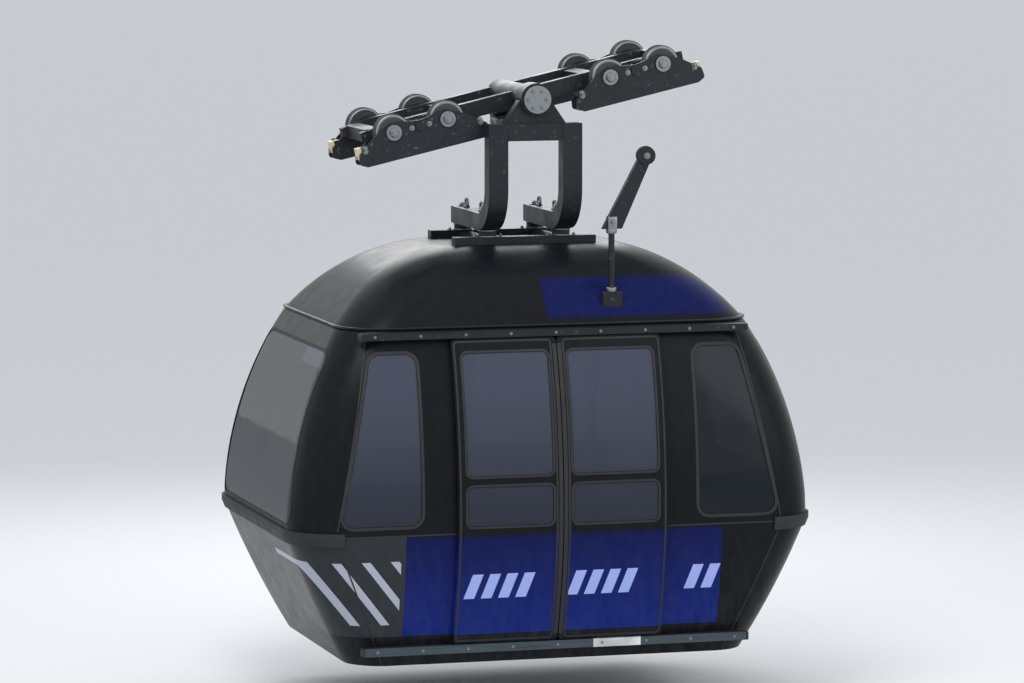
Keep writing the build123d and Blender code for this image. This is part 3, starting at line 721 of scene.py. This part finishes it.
makeLeafSeals()
print("leaf seals done")

# Joints where the side panels meet the corner panels: half length and height of both ends
seamSizes = {
    "width": 0.009, "inset": 0.002, "thick": 0.005, "corner": 0.002,
    "lower": ((1.1516, 0.004), (1.4756, 0.80)), "frame": ((1.4909, 0.905), (1.2408, 2.146)),
}


def seamOn(stretch, side, end):
    foot, head = (Vector(point) - Vector((seamSizes["inset"], 0)) for point in seamSizes[stretch])
    step = Vector((seamSizes["width"], 0))
    corners = seen([foot, foot - step, head - step, head], end)
    face = outlineFace(onSide(corners, side * outOfSide), seamSizes["corner"])
    target = stretch + ("_near" if side < 0 else "_far")
    return wrapOn(face, target, (0, -side, 0), seamSizes["thick"])


strips = [seamOn(stretch, side, end) for side in (-1, 1) for end in (-1, 1) for stretch in ("lower", "frame")]
dress(smooth(joined(strips), rubberAngle), "panelSeams", "blackRubber", "cabin")
print("seams done")

# Loops round the body: a joint at the belt, which stops at the doorway, and a drip rail over the eaves
loopSizes = {
    "belt": {"height": beltHeight, "half": (1.750, 1.175), "corner": 0.320, "proud": 0.0015,
             "tall": 0.010, "thick": 0.003},
    "drip": {"height": 2.164, "half": (1.3735, 0.9605), "corner": 0.300, "proud": 0.011,
             "tall": 0.014, "thick": 0.022},
    "doorway": (1.32, 0.40, 0.20), "softening": 0.2,
}


def makeLoop(key, name, finish):
    sizes = loopSizes[key]
    halfLength, halfWidth = (half + sizes["proud"] - sizes["thick"] / 2 for half in sizes["half"])
    corners = [onCabin(x * halfLength, y * halfWidth, sizes["height"]).translation
               for x, y in ((-1, -1), (1, -1), (1, 1), (-1, 1))]
    loop = outlineFace(corners, sizes["corner"])
    only(loop)
    bpy.ops.object.mode_set(mode="EDIT")
    bpy.ops.mesh.select_mode(type="EDGE")
    bpy.ops.mesh.select_all(action="SELECT")
    bpy.ops.mesh.delete(type="ONLY_FACE")
    bpy.ops.mesh.select_all(action="SELECT")
    bpy.ops.mesh.extrude_edges_move(TRANSFORM_OT_translate={"value": (0, 0, sizes["tall"])})
    bpy.ops.object.mode_set(mode="OBJECT")
    outwards(loop)
    shell = loop.modifiers.new("thick", "SOLIDIFY")
    shell.thickness = sizes["thick"]
    shell.offset = 0.0
    soften = loop.modifiers.new("soften", "BEVEL")
    soften.width = min(sizes["thick"], sizes["tall"]) * loopSizes["softening"]
    soften.segments = 2
    applyAll(loop)
    return dress(smooth(outwards(loop), 40), name, finish, "cabin")


def openAtDoorway(loop):
    quiet()
    belt = loopSizes["belt"]
    middle = onCabin(0, -belt["half"][1], belt["height"] + belt["tall"] / 2).translation
    bpy.ops.mesh.primitive_cube_add(size=1.0, scale=loopSizes["doorway"], location=middle)
    cutter = settle(bpy.context.object)
    cut = loop.modifiers.new("doorway", "BOOLEAN")
    cut.operation = "DIFFERENCE"
    cut.object = cutter
    applyAll(loop)
    bpy.data.objects.remove(cutter)


openAtDoorway(makeLoop("belt", "beltJoint", "blackRubber"))
makeLoop("drip", "dripRail", "hangerPaint")
print("loops done")

# The rubber blocks between the roof frame and the hanger's arms
blockPlaces = {"x": 0.25, "y": 0.30, "foot": 2.690, "top": 2.735, "armTop": 2.845}

# Bolts, nuts and screws: a head's radius and height, and where each kind sits
boltSizes = {
    "axleNuts": (0.032, 0.024), "plateBolts": (0.011, 0.012), "capBolts": (0.010, 0.011),
    "mountNuts": (0.024, 0.020), "frameBolts": (0.011, 0.012), "underBolts": (0.011, 0.010),
    "gripBolts": (0.010, 0.010), "railScrews": (0.006, 0.005), "leverBolts": (0.013, 0.012),
}
boltPlaces = {
    "plateFace": 0.420, "nutSeat": 0.008,
    "plateEnd": 0.395, "plateRises": (0.079, 0.097), "plateMiddle": 0.060,
    "capFace": -0.624, "capRing": 0.062, "capCount": 6, "frameStep": 0.09,
    "rungs": (-1.15, -0.6, 0, 0.6, 1.15), "rungStep": 0.025, "rungSide": 0.56, "rungFoot": 0.050,
    "gripEnd": 0.160, "gripSide": 0.030, "gripRise": 0.070,
    "screwPitch": 0.3, "screwSteps": 4,
}


def plateFixings():
    nuts, bolts = [], []
    for hand in (-1, 1):
        face = hand * boltPlaces["plateFace"]
        seat = face + hand * boltPlaces["nutSeat"]
        for centre in bogieCentres:
            for offset in axleOffsets:
                nuts.append(facing(onCarriage(centre + offset, seat, axleRise), (0, hand, 0)))
            for offset in (-boltPlaces["plateEnd"], boltPlaces["plateEnd"]):
                for rise in boltPlaces["plateRises"]:
                    bolts.append(facing(onCarriage(centre + offset, face, rise), (0, hand, 0)))
            for offset in (-boltPlaces["plateMiddle"], boltPlaces["plateMiddle"]):
                bolts.append(facing(onCarriage(centre + offset, face, axleRise), (0, hand, 0)))
    boltSet("axleNuts", nuts, "carriage")
    boltSet("plateBolts", bolts, "carriage")


def carriageFixings():
    cap = Vector((pivot.x, boltPlaces["capFace"], pivot.z))
    turns = [math.tau * number / boltPlaces["capCount"] for number in range(boltPlaces["capCount"])]
    ring = [Vector((math.cos(turn), 0, math.sin(turn))) * boltPlaces["capRing"] for turn in turns]
    boltSet("capBolts", [facing(cap + spot, (0, -1, 0)) for spot in ring], "carriage")
    ends = [onCarriage(hand * boltPlaces["gripEnd"], side, boltPlaces["gripRise"])
            for hand in (-1, 1) for side in (-boltPlaces["gripSide"], boltPlaces["gripSide"])]
    boltSet("gripBolts", [facing(end, uphill if end.x > 0 else -uphill) for end in ends], "carriage")


def cabinFixings():
    # The hanger's arms and the roof frame, at the rubber blocks
    blocks = [(x, y) for x in (-blockPlaces["x"], blockPlaces["x"])
              for y in (-blockPlaces["y"], blockPlaces["y"])]
    tops = [facing((pivot.x + x, y, heightOver(blockPlaces["armTop"])), (0, 0, 1)) for x, y in blocks]
    boltSet("mountNuts", tops, "cabin")
    sides = [facing((pivot.x + x + step, y, heightOver(blockPlaces["foot"])), (0, 0, 1))
             for x, y in blocks for step in (-boltPlaces["frameStep"], boltPlaces["frameStep"])]
    boltSet("frameBolts", sides, "cabin")
    rungs = [(rung + step, y) for rung in boltPlaces["rungs"]
             for step in (-boltPlaces["rungStep"], boltPlaces["rungStep"])
             for y in (-boltPlaces["rungSide"], boltPlaces["rungSide"])]
    foot = heightOver(boltPlaces["rungFoot"])
    boltSet("underBolts", [facing((pivot.x + x, y, foot), (0, 0, -1)) for x, y in rungs], "cabin")
    screws = []
    for rail in ("head_rail", "sill_rail"):
        low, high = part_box(rail)
        for step in range(-boltPlaces["screwSteps"], boltPlaces["screwSteps"] + 1):
            x = pivot.x + step * boltPlaces["screwPitch"]
            screws.append(facing((x, low.y, (low.z + high.z) / 2), (0, -1, 0)))
    boltSet("railScrews", screws, "cabin")


plateFixings()
carriageFixings()
cabinFixings()
print("bolts done")


def disc(radius, depth, soften=0.15):
    quiet()
    bpy.ops.mesh.primitive_cylinder_add(vertices=40, radius=radius, depth=depth)
    piece = bpy.context.object
    pick(piece, "FACE", lambda face: abs(face.normal.z) > 0.9)  # its two ends
    bpy.ops.mesh.bevel(offset=depth * soften, segments=2, affect="EDGES")
    bpy.ops.object.mode_set(mode="OBJECT")
    return piece


def block(size, soften=0.003):
    quiet()
    bpy.ops.mesh.primitive_cube_add(size=1.0, scale=size)
    piece = settle(bpy.context.object)
    edge = piece.modifiers.new("soften", "BEVEL")
    edge.width = soften
    edge.segments = 2
    return applyAll(piece)


def ringWire(radius, wire, sides=48):
    quiet()
    bpy.ops.mesh.primitive_torus_add(major_radius=radius, minor_radius=wire,
                                     major_segments=sides, minor_segments=10)
    return bpy.context.object


def turned(degrees, axis):
    return Matrix.Rotation(math.radians(degrees), 4, axis)


# Plates over and under the rubber blocks, lifting eyes and weld beads on the hanger
hangerSizes = {
    "plate": 0.064, "plateThick": 0.007,
    "eye": 0.030, "eyeWire": 0.008, "eyeFoot": 0.022, "eyeFootTall": 0.012, "eyePlaces": (-0.16, 0.20),
    "bead": 0.010, "barEnd": 0.185, "barSection": 0.110, "barDrop": 0.215, "barSide": -0.521,
}


def makeHangerTrim():
    legs = (-blockPlaces["x"], blockPlaces["x"])
    sides = (-blockPlaces["y"], blockPlaces["y"])
    half = hangerSizes["plateThick"] / 2
    heights = (blockPlaces["foot"] + half, blockPlaces["top"] - half)
    places = [onCabin(x, y, height) for x in legs for y in sides for height in heights]
    plates = copiesAt(disc(hangerSizes["plate"], 2 * half), places, "mountPlates")
    dress(smooth(plates), "mountPlates", "zincSteel", "cabin")
    ring = ringWire(hangerSizes["eye"], hangerSizes["eyeWire"], 32)
    ring.data.transform(Matrix.Translation((0, 0, hangerSizes["eye"])) @ turned(90, "Y"))
    foot = disc(hangerSizes["eyeFoot"], hangerSizes["eyeFootTall"])
    foot.data.transform(Matrix.Translation((0, 0, hangerSizes["eyeFootTall"] / 2)))
    places = [onCabin(x, y, blockPlaces["armTop"]) for x in legs for y in hangerSizes["eyePlaces"]]
    eyes = copiesAt(joined([ring, foot]), places, "liftingEyes")
    dress(smooth(eyes), "liftingEyes", "zincSteel", "cabin")
    quiet()
    bpy.ops.mesh.primitive_plane_add(size=hangerSizes["barSection"])
    bead = bpy.context.object
    tube = bead.modifiers.new("tube", "WIREFRAME")
    tube.thickness = hangerSizes["bead"]
    tube.use_boundary = True
    rounded = bead.modifiers.new("rounded", "BEVEL")
    rounded.width = hangerSizes["bead"] / 4
    rounded.segments = 2
    applyAll(bead)
    bar = Matrix.Translation((pivot.x, hangerSizes["barSide"], pivot.z - hangerSizes["barDrop"]))
    places = [bar @ Matrix.Translation((hand * hangerSizes["barEnd"], 0, 0)) @ turned(90, "Y")
              for hand in (-1, 1)]
    beads = copiesAt(bead, places, "weldBeads")
    dress(smooth(beads, 60), "weldBeads", "hangerPaint", "cabin")


makeHangerTrim()

# Lever: collars, forked joint and the roller's tyre
leverSizes = {
    "x": 0.43, "y": -0.85, "lean": 0.23, "top": 3.240,
    "collar": 0.034, "collarTall": 0.030, "collars": (2.375, 2.755),
    "cheek": (0.060, 0.008, 0.100), "cheekSide": 0.024, "cheekHeight": 2.800,
    "pinHeight": 2.815, "pinSide": 0.028,
    "tyre": 0.0555, "tyreWire": 0.0075, "tyreWide": 3.0, "rollerHalf": 0.032,
}


def makeLeverTrim():
    x, y = leverSizes["x"], leverSizes["y"]
    places = [onCabin(x, y, height) for height in leverSizes["collars"]]
    collars = copiesAt(disc(leverSizes["collar"], leverSizes["collarTall"]), places, "collars")
    sides = [onCabin(x, y + hand * leverSizes["cheekSide"], leverSizes["cheekHeight"]) for hand in (-1, 1)]
    cheeks = copiesAt(block(leverSizes["cheek"]), sides, "cheeks")
    dress(smooth(joined([collars, cheeks])), "leverJoint", "zincSteel", "cabin")
    pin = Vector((pivot.x + x, y, heightOver(leverSizes["pinHeight"])))
    top = Vector((pivot.x + x + leverSizes["lean"], y, heightOver(leverSizes["top"])))
    bolts = [facing(pin + across * hand * leverSizes["pinSide"], (0, hand, 0)) for hand in (-1, 1)]
    bolts += [facing(top + across * hand * leverSizes["rollerHalf"], (0, hand, 0)) for hand in (-1, 1)]
    boltSet("leverBolts", bolts, "cabin")
    tyre = ringWire(leverSizes["tyre"], leverSizes["tyreWire"])
    widened = Matrix.Diagonal((1, 1, leverSizes["tyreWide"], 1))
    tyre.data.transform(Matrix.Translation(top) @ turned(90, "X") @ widened)
    dress(smooth(tyre), "leverTyre", "blackRubber", "cabin")


makeLeverTrim()
print("hanger and lever trim done")

# Rim rings and bearing covers of the rollers, modelled once for all eight
rollerSizes = {
    "ring": 0.105, "ringWire": 0.009, "flat": 0.33, "cover": 0.052, "coverTall": 0.006,
    "half": 0.038, "side": 0.360,
}


def makeRollerTrim():
    ring = ringWire(rollerSizes["ring"], rollerSizes["ringWire"])
    ring.data.transform(Matrix.Diagonal((1, 1, rollerSizes["flat"], 1)))
    face = joined([ring, disc(rollerSizes["cover"], rollerSizes["coverTall"])])
    places = [Matrix.Translation((0, hand * rollerSizes["half"], 0)) @ turned(90, "X") for hand in (-1, 1)]
    seed = smooth(copiesAt(face, places, "rollerTrim"))
    axles = [centre + offset for centre in bogieCentres for offset in axleOffsets]
    for side, hand in (("near", -1), ("far", 1)):
        for number, along in enumerate(axles, 1):
            name = f"roller_{side}_{number}"
            trim = seed.copy()
            trim.data = seed.data.copy()
            bpy.context.collection.objects.link(trim)
            trim.data.transform(Matrix.Translation(onCarriage(along, hand * rollerSizes["side"], axleRise)))
            dress(trim, "trim_" + name, "zincSteel", name)
    bpy.data.objects.remove(seed)


makeRollerTrim()
print("roller trim done")

# Rail ends, lamp strips, seat ridges and pole flanges
cabinSizes = {
    "softening": 0.005,
    "railCap": (0.016, 0.070), "railCapSide": 0.032, "railCapOver": -0.002,
    "lamp": (1.7, 0.11, 0.022), "lampSide": 0.5, "lampHeight": 2.141,
    "ridge": (0.36, 0.022, 0.012), "ridgeHeight": 0.668, "ridgeTilt": 3.6,
    "endRidges": (1.31, 0.26), "farRidges": ((-0.5, 0, 0.5), 0.80),
    "flange": 0.044, "flangeTall": 0.010, "poles": (0.48, 0.18), "flangeHeights": (0.235, 2.145),
}


def makeCabinTrim():
    caps = []
    for rail in ("head_rail", "sill_rail"):
        low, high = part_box(rail)
        thick, deep = cabinSizes["railCap"]
        cap = block((thick, deep, high.z - low.z + cabinSizes["railCapOver"]))
        middle = Vector((0, low.y + cabinSizes["railCapSide"], (low.z + high.z) / 2))
        ends = [Matrix.Translation(middle + Vector((x, 0, 0))) for x in (low.x, high.x)]
        caps.append(copiesAt(cap, ends, "caps"))
    dress(smooth(joined(caps)), "railCaps", "blackRubber", "cabin")
    side, height = cabinSizes["lampSide"], cabinSizes["lampHeight"]
    places = [onCabin(0, y, height) for y in (-side, side)]
    lamps = copiesAt(block(cabinSizes["lamp"], cabinSizes["softening"]), places, "lampStrips")
    dress(smooth(lamps), "lampStrips", "liningPanel", "cabin")
    tilt, height = cabinSizes["ridgeTilt"], cabinSizes["ridgeHeight"]
    x, y = cabinSizes["endRidges"]
    corners = [(hand, step) for hand in (-1, 1) for step in (-1, 1)]
    places = [onCabin(hand * x, step * y, height) @ turned(hand * tilt, "Y") for hand, step in corners]
    steps, y = cabinSizes["farRidges"]
    places += [onCabin(x, y, height) @ turned(-tilt, "X") @ turned(90, "Z") for x in steps]
    ridges = copiesAt(block(cabinSizes["ridge"], cabinSizes["softening"]), places, "seatRidges")
    dress(smooth(ridges), "seatRidges", "benchShell", "cabin")
    x, y = cabinSizes["poles"]
    places = [onCabin(hand * x, step * y, z) for hand, step in corners for z in cabinSizes["flangeHeights"]]
    flanges = copiesAt(disc(cabinSizes["flange"], cabinSizes["flangeTall"]), places, "poleFlanges")
    dress(smooth(flanges), "poleFlanges", "poleSteel", "cabin")


makeCabinTrim()
print("cabin trim done")

# Floor, light and camera
stageSizes = {"drop": 0.35, "size": 6000.0, "grey": (0.8, 0.8, 0.8, 1), "roughness": 0.9}
worldLook = {"light": (0.80, 0.84, 0.90, 1), "strength": 0.85, "backdrop": (0.93, 0.94, 0.96, 1)}
cameraSizes = {
    "azimuth": -16.0, "elevation": 6.0, "margin": 1.15,
    "lens": 180.0, "sensor": 36.0, "shape": 683 / 1024, "sight": 8000.0,
}
lampAim = 1.6  # height over the cabin's foot
lamps = {
    "keyLamp": {"azimuth": -35, "elevation": 50, "distance": 9.0, "size": 4.0, "power": 380},
    "fillLamp": {"azimuth": 40, "elevation": 20, "distance": 10.0, "size": 6.0, "power": 170},
    "backLamp": {"azimuth": 170, "elevation": 35, "distance": 9.0, "size": 5.0, "power": 300},
}


def wayTo(azimuth, elevation):
    # from the object towards a lamp or the camera; azimuth 0 is square to the doors
    around, up = math.radians(azimuth), math.radians(elevation)
    return Vector((math.sin(around) * math.cos(up), -math.cos(around) * math.cos(up), math.sin(up)))


def mixShaders(tree, share, under, over, output):
    mix = tree.nodes.new("ShaderNodeMixShader")
    tree.links.new(share, mix.inputs[0])
    tree.links.new(under.outputs[0], mix.inputs[1])
    tree.links.new(over.outputs[0], mix.inputs[2])
    tree.links.new(mix.outputs[0], output.inputs[0])


def makeStage():
    level = footHeight - stageSizes["drop"]
    bpy.ops.mesh.primitive_plane_add(size=stageSizes["size"], location=(0, 0, level))
    floor = bpy.context.object
    floor.name = "stageFloor"
    finish, tree, shader = newFinish("stagePaper")
    shader.inputs["Base Color"].default_value = stageSizes["grey"]
    shader.inputs["Roughness"].default_value = stageSizes["roughness"]
    # Seen from below, the floor lets the object through
    clear = tree.nodes.new("ShaderNodeBsdfTransparent")
    side = tree.nodes.new("ShaderNodeNewGeometry")
    output = tree.nodes["Material Output"]
    mixShaders(tree, side.outputs["Backfacing"], shader, clear, output)
    floor.data.materials.append(finish)


def makeWorld():
    # Soft light on the object, and a paler backdrop that the camera and the reflections see
    world = bpy.data.worlds.new("studio")
    bpy.context.scene.world = world
    world.use_nodes = True
    tree = world.node_tree
    light = tree.nodes["Background"]
    light.inputs["Color"].default_value = worldLook["light"]
    light.inputs["Strength"].default_value = worldLook["strength"]
    backdrop = tree.nodes.new("ShaderNodeBackground")
    backdrop.inputs["Color"].default_value = worldLook["backdrop"]
    path = tree.nodes.new("ShaderNodeLightPath")
    passing = either(tree, path.outputs["Is Glossy Ray"], path.outputs["Is Transmission Ray"])
    shown = either(tree, path.outputs["Is Camera Ray"], passing)
    mixShaders(tree, shown, light, backdrop, tree.nodes["World Output"])


def makeLamp(name, azimuth, elevation, distance, size, power):
    bpy.ops.object.light_add(type="AREA")
    lamp = bpy.context.object
    lamp.name = name
    lamp.data.size = size
    lamp.data.energy = power
    way = wayTo(azimuth, elevation)
    lamp.location = Vector((pivot.x, 0, heightOver(lampAim))) + way * distance
    lamp.rotation_euler = way.to_track_quat("Z", "Y").to_euler()


def makeCamera():
    low, high = cadBox
    bpy.ops.object.camera_add()
    camera = bpy.context.object
    camera.data.lens = cameraSizes["lens"]
    camera.data.sensor_width = cameraSizes["sensor"]
    camera.data.clip_end = cameraSizes["sight"]
    azimuth, elevation = cameraSizes["azimuth"], cameraSizes["elevation"]
    halfAngle = math.atan(cameraSizes["sensor"] / 2 * cameraSizes["shape"] / cameraSizes["lens"])
    distance = (high.z - low.z) / 2 * cameraSizes["margin"] / math.tan(halfAngle)
    camera.location = (low + high) / 2 + wayTo(azimuth, elevation) * distance
    camera.rotation_euler = (math.pi / 2 - math.radians(elevation), 0, math.radians(azimuth))
    bpy.context.scene.camera = camera


makeStage()
makeWorld()
for name, lamp in lamps.items():
    makeLamp(name, **lamp)
makeCamera()
bpy.context.scene.view_settings.view_transform = "Standard"
print("stage, lamps and camera are in place")
